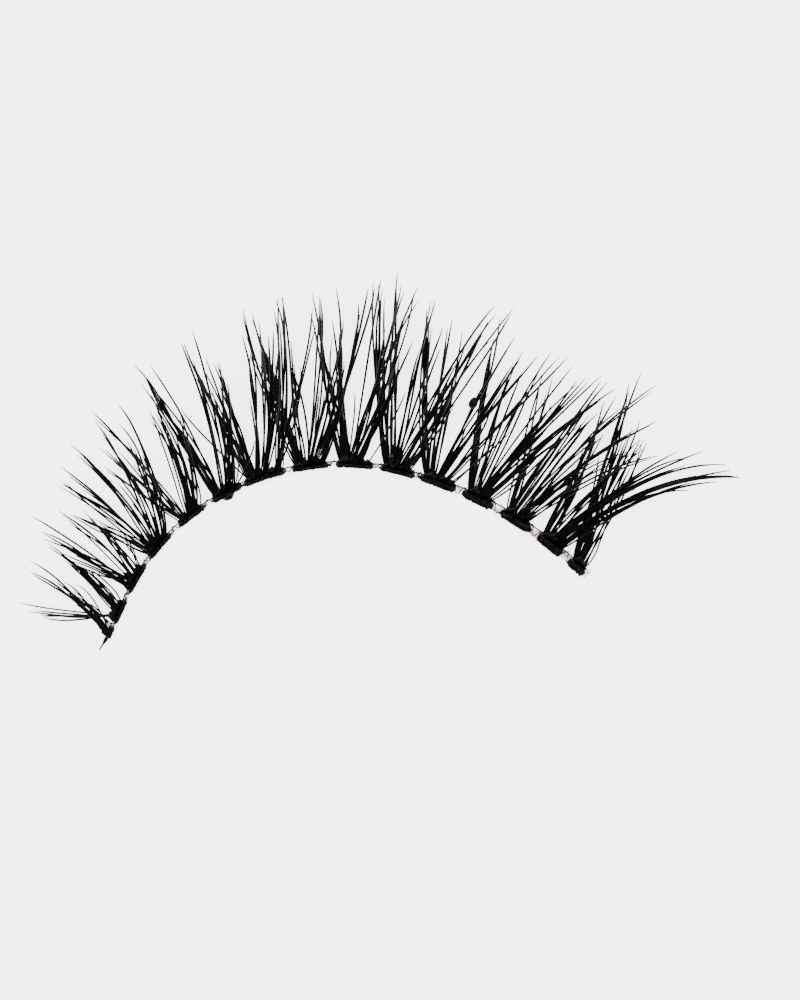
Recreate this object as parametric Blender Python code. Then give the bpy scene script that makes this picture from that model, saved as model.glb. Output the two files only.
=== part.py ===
"""False eyelash strip: fifteen tied clusters of black fibre on a clear arched band.

The strip lies on the flat undersides of its thread wraps. X runs along the band to the outer
corner, Y runs out along the lashes and Z is up, the way the lashes curl. The origin is on the
surface that the strip lies on, under the middle of the band.
"""
import math
from collections import namedtuple

import bmesh
import bpy
from mathutils import Matrix, Vector

MM = 0.001

# Clear band: a narrow film a little above the surface, held up by the wraps round it
BAND_LENGTH = 34.0 * MM
BAND_DEPTH = 0.26 * MM
BAND_HEIGHT = 0.20 * MM
BAND_STATIONS = 48
BAND_EDGE = 0.05 * MM

# Thread wraps: open sleeves round the band and the root of each cluster
WRAP_WALL = 0.07 * MM
WRAP_STATIONS = 5
CLEARANCE = 0.03 * MM

# Root bar of each cluster, which lies on the band inside the wrap and is as deep as the band.
# The locks have their feet in it, from FOOT_IN of its depth, and FOOT_STAGGER of it further out
# from one end of the bar to the other.
ROOT_HEIGHT = 0.26 * MM
ROOT_STATIONS = 4
ROOT_INSET = 0.04 * MM
FOOT_IN = 0.50
FOOT_STAGGER = 0.30

# Locks of fibre. RISE and CURL are the climb at the foot and what a full length adds to it, and
# RISE_PER_FAN is the share of a lock's fan that it climbs more. Locks lie up to LAYER over or
# under the middle, reached at a fan of LAYER_FAN degrees.
LASH_LENGTH = 14.2 * MM
LOCK_WIDTH = 0.42 * MM
LOCK_THICKNESS = 0.17 * MM
LOCK_SIDES = 5
LOCK_STATIONS = 7
STEPS_PER_STATION = 6
CURL = math.radians(50)
CURL_POWER = 1.3
RISE = math.radians(4)
RISE_PER_FAN = 0.28
LAYER = 0.03 * MM
LAYER_FAN = 20

# Glue: a bead caught on one lock, and a lump on the inner side of one wrap
BEAD_CLUSTER = 11
BEAD_LOCK = 4
BEAD_PLACE = 0.48
BEAD_LENGTH = 0.75 * MM
BEAD_WIDTH = 0.50 * MM
LUMP_CLUSTER = 6
LUMP_LENGTH = 0.74 * MM
LUMP_DEPTH = 0.40 * MM
LUMP_TURN = math.radians(17)

# Loose end of the thread at the inner corner
TAIL_CLUSTER = 1
TAIL_LENGTH = 1.15 * MM
TAIL_WIDTH = 0.26 * MM
TAIL_THICKNESS = 0.06 * MM
TAIL_SIDES = 6
TAIL_TURN = math.radians(-3)
TAIL_BOW = 0.08

# How the band bends: its heading in degrees from X at shares of its length
Bend = namedtuple("Bend", "share heading")
BENDS = (
    Bend(0.00, 67),
    Bend(0.10, 63),
    Bend(0.25, 40),
    Bend(0.50, 5),
    Bend(0.62, -13),
    Bend(0.75, -24.5),
    Bend(0.90, -38),
    Bend(1.00, -44),
)

# How deep the band is along its length, as shares of its depth: it widens to the outer corner
Widening = namedtuple("Widening", "share size")
WIDENINGS = (
    Widening(0.00, 1.0),
    Widening(0.60, 1.0),
    Widening(0.70, 1.5),
    Widening(0.78, 1.9),
    Widening(0.92, 2.0),
    Widening(1.00, 1.8),
)

# How wide and thick a lock is along its length, as shares of its full width and thickness
Taper = namedtuple("Taper", "share size")
TAPERS = (
    Taper(0.00, 1.00),
    Taper(0.30, 1.00),
    Taper(0.65, 0.75),
    Taper(1.00, 0.22),
)

# The same for the thread's loose end, which is thick at its knot
TAIL_TAPERS = (
    Taper(0.00, 0.80),
    Taper(0.35, 1.00),
    Taper(0.55, 0.50),
    Taper(1.00, 0.25),
)

# Clusters from the inner corner to the outer one. start and end are shares of the band, and
# leave and arrive are the slants at a lock's foot and tip, as shares of its fan.
# Each lock has its foot as a share of the wrap, its fan in degrees from straight out of the
# band, + towards the outer corner, and its reach as a share of the lash length.
Lock = namedtuple("Lock", "foot fan reach")
Cluster = namedtuple("Cluster", "start end leave arrive locks")
CLUSTERS = (
    Cluster(0.002, 0.018, 1.3, 0.7, (
        Lock(0.3, 26, 0.49), Lock(0.6, 20, 0.44), Lock(0.8, 32, 0.25),
    )),
    Cluster(0.030, 0.072, 1.3, 0.7, (
        Lock(0.2, -20, 0.36), Lock(0.4, -28, 0.25), Lock(0.4, 27, 0.46), Lock(0.6, 22, 0.35),
        Lock(0.8, 28, 0.22),
    )),
    Cluster(0.090, 0.141, 1.3, 0.7, (
        Lock(0.1, 9, 0.45), Lock(0.2, -5, 0.26), Lock(0.4, 19, 0.43), Lock(0.6, 27, 0.38),
        Lock(0.7, 24, 0.30), Lock(0.9, 32, 0.20),
    )),
    Cluster(0.159, 0.211, 1.3, 0.7, (
        Lock(0.1, -9, 0.37), Lock(0.2, 4, 0.49), Lock(0.3, 18, 0.58), Lock(0.5, 22, 0.34),
        Lock(0.5, 28, 0.71), Lock(0.7, 33, 0.66), Lock(0.9, 33, 0.77),
    )),
    Cluster(0.235, 0.285, 1.3, 0.7, (
        Lock(0.1, -12, 0.40), Lock(0.2, 5, 0.65), Lock(0.4, 23, 0.54), Lock(0.5, 25, 0.43),
        Lock(0.7, 21, 0.60), Lock(0.9, 28, 0.25),
    )),
    Cluster(0.307, 0.357, 1.3, 0.7, (
        Lock(0.1, 3, 0.74), Lock(0.2, 1, 0.60), Lock(0.4, 18, 0.67), Lock(0.6, 26, 0.66),
        Lock(0.8, 16, 0.84), Lock(0.9, 32, 0.20),
    )),
    Cluster(0.367, 0.436, 1.3, 0.7, (
        Lock(0.1, 0, 0.62), Lock(0.2, 5, 0.55), Lock(0.3, 17, 0.72), Lock(0.5, 21, 0.70),
        Lock(0.8, 28, 0.83), Lock(0.9, 16, 0.94),
    )),
    Cluster(0.452, 0.509, 1.3, 0.7, (
        Lock(0.1, -6, 0.78), Lock(0.2, -12, 0.54), Lock(0.3, 3, 0.85), Lock(0.5, 19, 0.44),
        Lock(0.6, 20, 0.75), Lock(0.9, 18, 1.08),
    )),
    Cluster(0.525, 0.585, 1.3, 0.7, (
        Lock(0.1, -8, 0.82), Lock(0.2, -4, 0.86), Lock(0.3, -9, 0.56), Lock(0.4, 15, 1.10),
        Lock(0.6, 17, 0.65), Lock(0.9, 19, 0.38),
    )),
    Cluster(0.600, 0.655, 1.3, 0.7, (
        Lock(0.1, -13, 0.88), Lock(0.2, -10, 0.57), Lock(0.3, -10, 0.98), Lock(0.4, -2, 0.84),
        Lock(0.5, 12, 1.03), Lock(0.7, 13, 1.10), Lock(0.9, 16, 0.36),
    )),
    Cluster(0.670, 0.727, 1.3, 0.7, (
        Lock(0.1, -17, 0.82), Lock(0.2, -11, 0.75), Lock(0.3, -8, 0.70), Lock(0.4, 5, 0.79),
        Lock(0.5, 13, 0.78), Lock(0.7, 16, 0.90), Lock(0.9, 21, 0.36),
    )),
    Cluster(0.748, 0.794, 1.1, 0.9, (
        Lock(0.1, -17, 0.84), Lock(0.3, -11, 0.60), Lock(0.4, -3, 0.78), Lock(0.5, 13, 0.76),
        Lock(0.7, 16, 0.84), Lock(0.9, 18, 0.56),
    )),
    Cluster(0.820, 0.869, 0.8, 1.3, (
        Lock(0.1, -18, 0.64), Lock(0.2, -1, 0.76), Lock(0.5, 7, 0.90), Lock(0.6, 13, 0.80),
        Lock(0.8, 15, 0.58),
    )),
    Cluster(0.894, 0.939, 0.5, 1.8, (
        Lock(0.1, -15, 0.72), Lock(0.2, -12, 0.53), Lock(0.3, 2, 0.60), Lock(0.5, 11, 0.84),
        Lock(0.7, 15, 0.92), Lock(0.9, 16, 0.94),
    )),
    Cluster(0.962, 0.990, 0.9, 1.1, (
        Lock(0.2, -27, 0.88), Lock(0.5, -23, 0.70), Lock(0.8, -19, 0.62),
    )),
)

# Heights worked out from the sizes above, from the underside of the wraps
BAND_BOTTOM = WRAP_WALL + CLEARANCE
BAND_TOP = BAND_BOTTOM + BAND_HEIGHT
ROOT_BOTTOM = BAND_TOP + CLEARANCE
ROOT_TOP = ROOT_BOTTOM + ROOT_HEIGHT
WRAP_HEIGHT = ROOT_TOP + CLEARANCE + WRAP_WALL


def between(rows, share):
    """Read a two-column table at a share, in straight lines between its rows."""
    for low, high in zip(rows, rows[1:]):
        if share <= high[0]:
            part = (share - low[0]) / (high[0] - low[0])
            return low[1] + (high[1] - low[1]) * part
    return rows[-1][1]


def heading(share):
    return math.radians(between(BENDS, share))


def band_line(steps=800):
    """Walk along the band from its inner end and put the middle of its length at the origin."""
    points = [Vector((0, 0))]
    for step in range(steps):
        angle = heading((step + 0.5) / steps)
        points.append(points[-1] + Vector((math.cos(angle), math.sin(angle))) * BAND_LENGTH / steps)
    middle = points[steps // 2]
    return [point - middle for point in points]


LINE = band_line()


def frame_at(share):
    """Place on the band at a share of its length: X along it, Y out to the lashes, Z up."""
    place = share * (len(LINE) - 1)
    low = min(int(place), len(LINE) - 2)
    point = LINE[low].lerp(LINE[low + 1], place - low)
    return Matrix.Translation((point.x, point.y, 0)) @ Matrix.Rotation(heading(share), 4, "Z")


def half_depth(share):
    """Half the depth of the band and of what lies on it, at a share of the band's length."""
    return BAND_DEPTH / 2 * between(WIDENINGS, share)


def wrap_in(share):
    """The inner face of a wrap, out from the band's middle line."""
    return -half_depth(share) - CLEARANCE - WRAP_WALL


def material(name, color, roughness, alpha=1.0):
    made = bpy.data.materials.new(name)
    made.use_nodes = True
    shader = made.node_tree.nodes["Principled BSDF"]
    shader.inputs["Base Color"].default_value = (*color, 1)
    shader.inputs["Roughness"].default_value = roughness
    shader.inputs["Metallic"].default_value = 0.0
    shader.inputs["Alpha"].default_value = alpha
    made.diffuse_color = (*color, alpha)
    return made


def tube(rings):
    """Join rings of points into one closed body with a flat cap at each end."""
    body = bmesh.new()
    loops = [[body.verts.new(point) for point in ring] for ring in rings]
    count = len(rings[0])
    for low, high in zip(loops, loops[1:]):
        for side in range(count):
            after = (side + 1) % count
            body.faces.new((low[side], low[after], high[after], high[side]))
    body.faces.new(list(reversed(loops[0])))
    body.faces.new(loops[-1])
    bmesh.ops.recalc_face_normals(body, faces=body.faces)
    return body


def along_band(profile, start, end, stations):
    """Sweep a profile along the band: profile(share) gives its (out, up) points at that share."""
    rings = []
    for step in range(stations + 1):
        share = start + (end - start) * step / stations
        frame = frame_at(share)
        rings.append([frame @ Vector((0, out, up)) for out, up in profile(share)])
    return tube(rings)


def bar_profile(low, high, share):
    """A bar as deep as the band, from one height to another, with its corners cut at 45 degrees."""
    out = half_depth(share)
    edge = out - BAND_EDGE
    return (
        (-edge, low), (edge, low), (out, low + BAND_EDGE), (out, high - BAND_EDGE),
        (edge, high), (-edge, high), (-out, high - BAND_EDGE), (-out, low + BAND_EDGE),
    )


def band_profile(share):
    return bar_profile(BAND_BOTTOM, BAND_TOP, share)


def root_profile(share):
    return bar_profile(ROOT_BOTTOM, ROOT_TOP, share)


def wrap_profile(share):
    """A C open to the lashes. Its underside is flat, its inner corners are cut away, and its
    upper arm stops short over the middle of the root bar, where the locks leave."""
    back = wrap_in(share)
    inside = back + WRAP_WALL
    under = half_depth(share)
    return (
        (inside, 0), (under, 0), (under, WRAP_WALL), (inside, WRAP_WALL),
        (inside, WRAP_HEIGHT - WRAP_WALL), (0, WRAP_HEIGHT - WRAP_WALL), (0, WRAP_HEIGHT),
        (inside, WRAP_HEIGHT), (back, WRAP_HEIGHT - WRAP_WALL), (back, WRAP_WALL),
    )


def foot_frame(cluster, lock):
    """Place of a lock's foot, inside the root bar at its layer's height and staggered in depth."""
    margin = ROOT_INSET + LOCK_WIDTH / 4
    inset = margin / BAND_LENGTH
    share = cluster.start + inset + (cluster.end - cluster.start - 2 * inset) * lock.foot
    tier = max(-1.0, min(1.0, lock.fan / LAYER_FAN))
    lift = (ROOT_BOTTOM + ROOT_TOP) / 2 + tier * LAYER
    out = half_depth(share) * (2 * (FOOT_IN + FOOT_STAGGER * lock.foot) - 1)
    return frame_at(share) @ Matrix.Translation((0, out, lift))


def lock_line(cluster, lock):
    """Points down the middle of a lock, each with its direction, as (point, direction).

    The lock turns from its cluster's leaving slant to its arriving one. It curls up more steeply
    the further out it goes, and the more it leans to the outer corner the more it rises from the
    start, so that locks of neighbouring clusters cross over one another.
    """
    frame = foot_frame(cluster, lock)
    length = LASH_LENGTH * lock.reach
    fan = math.radians(lock.fan)
    steps = LOCK_STATIONS * STEPS_PER_STATION
    point = Vector((0, 0, 0))
    line = []
    for step in range(steps + 1):
        share = step / steps
        slant = fan * (cluster.leave + (cluster.arrive - cluster.leave) * share)
        climb = RISE + RISE_PER_FAN * fan + CURL * (share * lock.reach) ** CURL_POWER
        flat = Vector((math.sin(slant), math.cos(slant), 0)) * math.cos(climb)
        direction = flat + Vector((0, 0, math.sin(climb)))
        if step % STEPS_PER_STATION == 0:
            line.append((frame @ point, frame.to_3x3() @ direction))
        point = point + direction * length / steps
    return line


def lock_body(cluster, lock):
    """A flat tapering lock: wide beside its neighbours, thin where others cross it."""
    rings = []
    line = lock_line(cluster, lock)
    for step, (point, direction) in enumerate(line):
        size = between(TAPERS, step / (len(line) - 1))
        side = direction.cross(Vector((0, 0, 1))).normalized()
        top = side.cross(direction).normalized()
        ring = []
        for corner in range(LOCK_SIDES):
            angle = 2 * math.pi * corner / LOCK_SIDES + math.pi / 2
            across = side * math.cos(angle) * LOCK_WIDTH / 2
            upward = top * math.sin(angle) * LOCK_THICKNESS / 2
            ring.append(point + (across + upward) * size)
        rings.append(ring)
    return tube(rings)


def blob(place, direction, length, width, height):
    """A rounded drop of glue with its long axis along a direction."""
    body = bmesh.new()
    bmesh.ops.create_icosphere(body, subdivisions=2, radius=0.5)
    turn = direction.to_track_quat("X", "Z").to_matrix().to_4x4()
    size = Matrix.Diagonal((length, width, height, 1))
    bmesh.ops.transform(body, matrix=Matrix.Translation(place) @ turn @ size, verts=body.verts)
    return body


def tail_body(cluster):
    """The thread's loose end, which leaves the wrap sideways and lies just off the surface."""
    frame = frame_at(cluster.start)
    start = frame @ Vector((WRAP_WALL, 0, WRAP_WALL / 2))
    angle = heading(cluster.start) + math.pi + TAIL_TURN
    along = Vector((math.cos(angle), math.sin(angle), 0))
    side = along.cross(Vector((0, 0, 1)))
    rings = []
    for taper in TAIL_TAPERS:
        middle = start + along * TAIL_LENGTH * taper.share
        middle = middle + side * TAIL_LENGTH * TAIL_BOW * taper.share ** 2
        ring = []
        for corner in range(TAIL_SIDES):
            turn = 2 * math.pi * corner / TAIL_SIDES
            reach = side * math.cos(turn) * TAIL_WIDTH / 2
            reach.z = math.sin(turn) * TAIL_THICKNESS / 2
            ring.append(middle + reach * taper.size)
        rings.append(ring)
    return tube(rings)


def add(name, body, finish, frame=None):
    """Make a named object from a body, with its origin at the given frame."""
    mesh = bpy.data.meshes.new(name)
    if frame is not None:
        bmesh.ops.transform(body, matrix=frame.inverted(), verts=body.verts)
    body.to_mesh(mesh)
    body.free()
    mesh.materials.append(finish)
    made = bpy.data.objects.new(name, mesh)
    if frame is not None:
        made.matrix_world = frame
    bpy.context.scene.collection.objects.link(made)
    return made


def fuse(target, body, finish):
    """Join one more closed body to an object with an exact union."""
    tool = add("tool", body, finish, target.matrix_world.copy())
    union = target.modifiers.new("union", "BOOLEAN")
    union.operation = "UNION"
    union.solver = "EXACT"
    union.object = tool
    bpy.context.view_layer.update()
    joined = bpy.data.meshes.new_from_object(target.evaluated_get(bpy.context.evaluated_depsgraph_get()))
    target.modifiers.remove(union)
    old = target.data
    target.data = joined
    bpy.data.meshes.remove(old)
    used = tool.data
    bpy.data.objects.remove(tool)
    bpy.data.meshes.remove(used)


def make_band(finish):
    return add("film_band", along_band(band_profile, 0, 1, BAND_STATIONS), finish)


def make_wrap(number, cluster, finish):
    middle = (cluster.start + cluster.end) / 2
    frame = frame_at(middle)
    body = along_band(wrap_profile, cluster.start, cluster.end, WRAP_STATIONS)
    wrap = add(f"thread_wrap_{number:02d}", body, finish, frame)
    if number == LUMP_CLUSTER:
        place = frame @ Vector((0, wrap_in(middle) + WRAP_WALL - LUMP_DEPTH / 2, WRAP_HEIGHT / 2))
        along = frame.to_3x3() @ Vector((math.cos(LUMP_TURN), math.sin(LUMP_TURN), 0))
        fuse(wrap, blob(place, along, LUMP_LENGTH, LUMP_DEPTH, WRAP_HEIGHT - WRAP_WALL), finish)
    if number == TAIL_CLUSTER:
        fuse(wrap, tail_body(cluster), finish)
    return wrap


def make_cluster(number, cluster, finish):
    frame = frame_at((cluster.start + cluster.end) / 2)
    inset = ROOT_INSET / BAND_LENGTH
    body = along_band(root_profile, cluster.start + inset, cluster.end - inset, ROOT_STATIONS)
    made = add(f"lash_cluster_{number:02d}", body, finish, frame)
    for lock in cluster.locks:
        fuse(made, lock_body(cluster, lock), finish)
    if number == BEAD_CLUSTER:
        line = lock_line(cluster, cluster.locks[BEAD_LOCK - 1])
        place = BEAD_PLACE * (len(line) - 1)
        low = int(place)
        point = line[low][0].lerp(line[low + 1][0], place - low)
        fuse(made, blob(point, line[low][1], BEAD_LENGTH, BEAD_WIDTH, BEAD_WIDTH), finish)
    return made


def build():
    for old in list(bpy.data.objects):
        bpy.data.objects.remove(old)
    fibre = material("black_fibre", (0.010, 0.009, 0.009), 0.35)
    thread = material("black_thread", (0.014, 0.011, 0.010), 0.45)
    film = material("clear_film", (0.86, 0.84, 0.84), 0.12, 0.4)
    pieces = [make_band(film)]
    for number, cluster in enumerate(CLUSTERS, start=1):
        pieces.append(make_wrap(number, cluster, thread))
        pieces.append(make_cluster(number, cluster, fibre))
    strip = bpy.data.objects.new("strip", None)
    bpy.context.scene.collection.objects.link(strip)
    for piece in pieces:
        piece.parent = strip
        piece.data.shade_flat()


build()
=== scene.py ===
# %% [markdown]
# # A false eyelash strip, made from its frame
#
# The frame holds the strip at its real size: a clear band, fifteen thread wraps and fifteen
# clusters of solid locks. This notebook keeps each place and form and makes the surfaces: the
# locks become single fibres, the wraps become wound thread set in glue, and the band becomes a
# film that light passes through.

# %% Load the frame
import math
import random
from collections import namedtuple

import bmesh
import bpy
from mathutils import Matrix, Vector, noise


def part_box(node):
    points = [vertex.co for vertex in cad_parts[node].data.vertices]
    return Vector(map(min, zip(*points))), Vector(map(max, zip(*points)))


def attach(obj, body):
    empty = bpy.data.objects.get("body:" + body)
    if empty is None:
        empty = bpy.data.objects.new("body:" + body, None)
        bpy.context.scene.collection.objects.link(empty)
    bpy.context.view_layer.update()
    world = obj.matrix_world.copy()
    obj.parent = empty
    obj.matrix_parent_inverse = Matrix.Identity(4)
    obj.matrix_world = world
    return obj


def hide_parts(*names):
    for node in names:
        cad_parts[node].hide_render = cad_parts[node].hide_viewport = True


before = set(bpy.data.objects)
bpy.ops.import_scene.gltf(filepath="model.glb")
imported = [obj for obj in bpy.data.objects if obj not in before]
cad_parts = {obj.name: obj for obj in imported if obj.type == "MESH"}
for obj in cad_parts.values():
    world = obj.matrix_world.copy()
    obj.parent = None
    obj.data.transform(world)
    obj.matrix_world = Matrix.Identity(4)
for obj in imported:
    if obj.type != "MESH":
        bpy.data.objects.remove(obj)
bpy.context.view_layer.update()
MM = 0.001
print("nodes in the frame:", len(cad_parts))

# %% [markdown]
# ## The line that the band follows
#
# A lash band is cut straight and then bent to the arch of the lid. The frame was made by walking
# along that arch, so the same walk gives the place of everything on it: a share of the band's
# length in, a small frame of axes out. Reading places off the mesh would be less exact.

# %% Walk along the arch
BAND_LENGTH = 34.0 * MM
Bend = namedtuple("Bend", "share heading")
BENDS = (
    Bend(0.00, 67),
    Bend(0.10, 63),
    Bend(0.25, 40),
    Bend(0.50, 5),
    Bend(0.62, -13),
    Bend(0.75, -24.5),
    Bend(0.90, -38),
    Bend(1.00, -44),
)


def between(rows, share):
    """Read a two-column table at a share, in straight lines between its rows."""
    for low, high in zip(rows, rows[1:]):
        if share <= high[0]:
            part = (share - low[0]) / (high[0] - low[0])
            return low[1] + (high[1] - low[1]) * part
    return rows[-1][1]


def heading(share):
    return math.radians(between(BENDS, share))


def band_line(steps=800):
    points = [Vector((0, 0))]
    for step in range(steps):
        angle = heading((step + 0.5) / steps)
        points.append(points[-1] + Vector((math.cos(angle), math.sin(angle))) * BAND_LENGTH / steps)
    middle = points[steps // 2]
    return [point - middle for point in points]


LINE = band_line()


def frame_at(share):
    """Axes on the band at a share of its length: X along it, Y out to the lashes, Z up."""
    place = min(max(share, 0.0), 1.0) * (len(LINE) - 1)
    low = min(int(place), len(LINE) - 2)
    point = LINE[low].lerp(LINE[low + 1], place - low)
    return Matrix.Translation((point.x, point.y, 0)) @ Matrix.Rotation(heading(share), 4, "Z")


print("band ends in mm:", [round(c / MM, 2) for c in (*LINE[0], *LINE[-1])])

# %% [markdown]
# ## Sizes of the band and its wraps
#
# The heights come from the frame's own boxes, so they can't drift from it. The depth grows to
# the outer corner, where the real band turns its flat side up.

# %% Read the heights and the depth
Widening = namedtuple("Widening", "share size")
WIDENINGS = (
    Widening(0.00, 1.0),
    Widening(0.60, 1.0),
    Widening(0.70, 1.5),
    Widening(0.78, 1.9),
    Widening(0.92, 2.0),
    Widening(1.00, 1.8),
)
BAND_DEPTH = 0.26 * MM
WRAP_GAP = 0.10 * MM
ROOT_SINK = 0.035 * MM
BAND_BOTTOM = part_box("film_band")[0].z
BAND_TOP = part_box("film_band")[1].z
WRAP_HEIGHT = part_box("thread_wrap_08")[1].z
BAND_HALF_HEIGHT = (BAND_TOP - BAND_BOTTOM) / 2
BAND_MIDDLE = (BAND_TOP + BAND_BOTTOM) / 2
ROOT_HEIGHT = (BAND_TOP + WRAP_HEIGHT) / 2 - ROOT_SINK


def half_depth(share):
    return BAND_DEPTH / 2 * between(WIDENINGS, share)


print("band from", round(BAND_BOTTOM / MM, 3), "to", round(BAND_TOP / MM, 3), "mm up")

# %% [markdown]
# ## The plan of the clusters
#
# Each cluster is tied at one place and fans out. A lash artist reads it in locks: where the lock
# has its foot, how far it leans, how far it reaches and how many fibres it holds. The first rows
# of each cluster are the frame's own locks, and the rest are the thin wisps between them, too
# fine to be solids. All were read from the photograph.

# %% Columns of the plan
Wisp = namedtuple("Wisp", "foot fan reach fibres")
Cluster = namedtuple("Cluster", "start end leave arrive locks wisps")
PLAN = []

# %% The inner corner: short clusters that lean outwards
PLAN += [
    Cluster(0.002, 0.018, 1.3, 0.7, (
        Wisp(0.3, 26, 0.49, 4), Wisp(0.6, 20, 0.44, 3), Wisp(0.8, 32, 0.25, 4),
    ), (
        Wisp(0.5, 29, 0.31, 8), Wisp(0.8, 39, 0.28, 2), Wisp(0.4, 23, 0.38, 4),
    )),
    Cluster(0.030, 0.072, 1.3, 0.7, (
        Wisp(0.2, -20, 0.36, 2), Wisp(0.4, -28, 0.25, 2), Wisp(0.4, 27, 0.46, 5),
        Wisp(0.6, 22, 0.35, 5), Wisp(0.8, 28, 0.22, 4),
    ), (
        Wisp(0.2, -15, 0.40, 1), Wisp(0.2, -18, 0.33, 1), Wisp(0.3, -23, 0.31, 1),
        Wisp(0.3, -26, 0.30, 1), Wisp(0.4, -31, 0.30, 1), Wisp(0.5, 24, 0.43, 3),
    )),
    Cluster(0.090, 0.141, 1.3, 0.7, (
        Wisp(0.1, 9, 0.45, 6), Wisp(0.2, -5, 0.26, 5), Wisp(0.4, 19, 0.43, 4),
        Wisp(0.6, 27, 0.38, 5), Wisp(0.7, 24, 0.30, 4), Wisp(0.9, 32, 0.20, 3),
    ), (
        Wisp(0.1, 14, 0.54, 1), Wisp(0.4, 20, 0.46, 2), Wisp(0.9, 36, 0.22, 2),
        Wisp(0.2, 6, 0.36, 5), Wisp(0.2, 2, 0.31, 3),
    )),
    Cluster(0.159, 0.211, 1.3, 0.7, (
        Wisp(0.1, -9, 0.37, 4), Wisp(0.2, 4, 0.49, 5), Wisp(0.3, 18, 0.58, 5),
        Wisp(0.5, 22, 0.34, 3), Wisp(0.5, 28, 0.71, 5), Wisp(0.7, 33, 0.66, 5),
        Wisp(0.9, 33, 0.77, 4),
    ), (
        Wisp(0.2, 9, 0.56, 3), Wisp(0.2, 1, 0.49, 2), Wisp(0.2, 9, 0.50, 2),
        Wisp(0.3, 19, 0.64, 2), Wisp(0.6, 22, 0.36, 2), Wisp(0.1, -5, 0.30, 5),
    )),
]
print("clusters planned:", len(PLAN))

# %% The inner half
PLAN += [
    Cluster(0.235, 0.285, 1.3, 0.7, (
        Wisp(0.1, -12, 0.40, 4), Wisp(0.2, 5, 0.65, 6), Wisp(0.4, 23, 0.54, 5),
        Wisp(0.5, 25, 0.43, 4), Wisp(0.7, 21, 0.60, 5), Wisp(0.9, 28, 0.25, 4),
    ), (
        Wisp(0.1, -4, 0.47, 3), Wisp(0.1, -2, 0.45, 2), Wisp(0.6, 28, 0.39, 3),
        Wisp(0.7, 31, 0.54, 4), Wisp(0.8, 34, 0.29, 2), Wisp(0.2, 0, 0.40, 4),
    )),
    Cluster(0.307, 0.357, 1.3, 0.7, (
        Wisp(0.1, 3, 0.74, 7), Wisp(0.2, 1, 0.60, 6), Wisp(0.4, 18, 0.67, 4),
        Wisp(0.6, 26, 0.66, 5), Wisp(0.8, 16, 0.84, 5), Wisp(0.9, 32, 0.20, 2),
    ), (
        Wisp(0.1, 2, 0.62, 3), Wisp(0.2, 1, 0.55, 2), Wisp(0.2, 7, 0.69, 2),
        Wisp(0.3, 17, 0.80, 1), Wisp(0.6, 26, 0.53, 5), Wisp(0.9, 46, 0.25, 1),
    )),
    Cluster(0.367, 0.436, 1.3, 0.7, (
        Wisp(0.1, 0, 0.62, 6), Wisp(0.2, 5, 0.55, 5), Wisp(0.3, 17, 0.72, 4),
        Wisp(0.5, 21, 0.70, 3), Wisp(0.8, 28, 0.83, 4), Wisp(0.9, 16, 0.94, 5),
    ), (
        Wisp(0.1, -20, 0.42, 1), Wisp(0.1, -1, 0.71, 3), Wisp(0.2, 5, 0.56, 4),
        Wisp(0.3, 17, 0.72, 2), Wisp(0.4, 20, 0.81, 2), Wisp(0.5, 18, 0.60, 3),
        Wisp(0.5, 22, 0.74, 3), Wisp(0.5, 25, 0.68, 4), Wisp(0.9, 17, 0.97, 3),
        Wisp(0.8, 27, 0.99, 1), Wisp(0.9, 34, 0.11, 3),
    )),
    Cluster(0.452, 0.509, 1.3, 0.7, (
        Wisp(0.1, -6, 0.78, 7), Wisp(0.2, -12, 0.54, 4), Wisp(0.3, 3, 0.85, 7),
        Wisp(0.5, 19, 0.44, 4), Wisp(0.6, 20, 0.75, 5), Wisp(0.9, 18, 1.08, 6),
    ), (
        Wisp(0.1, -4, 0.75, 3), Wisp(0.2, -5, 0.53, 4), Wisp(0.2, 4, 0.59, 2),
        Wisp(0.4, 14, 0.87, 2), Wisp(0.4, 12, 0.82, 2), Wisp(0.5, 14, 0.50, 3),
        Wisp(0.6, 23, 0.50, 3),
    )),
]
print("clusters planned:", len(PLAN))

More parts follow.
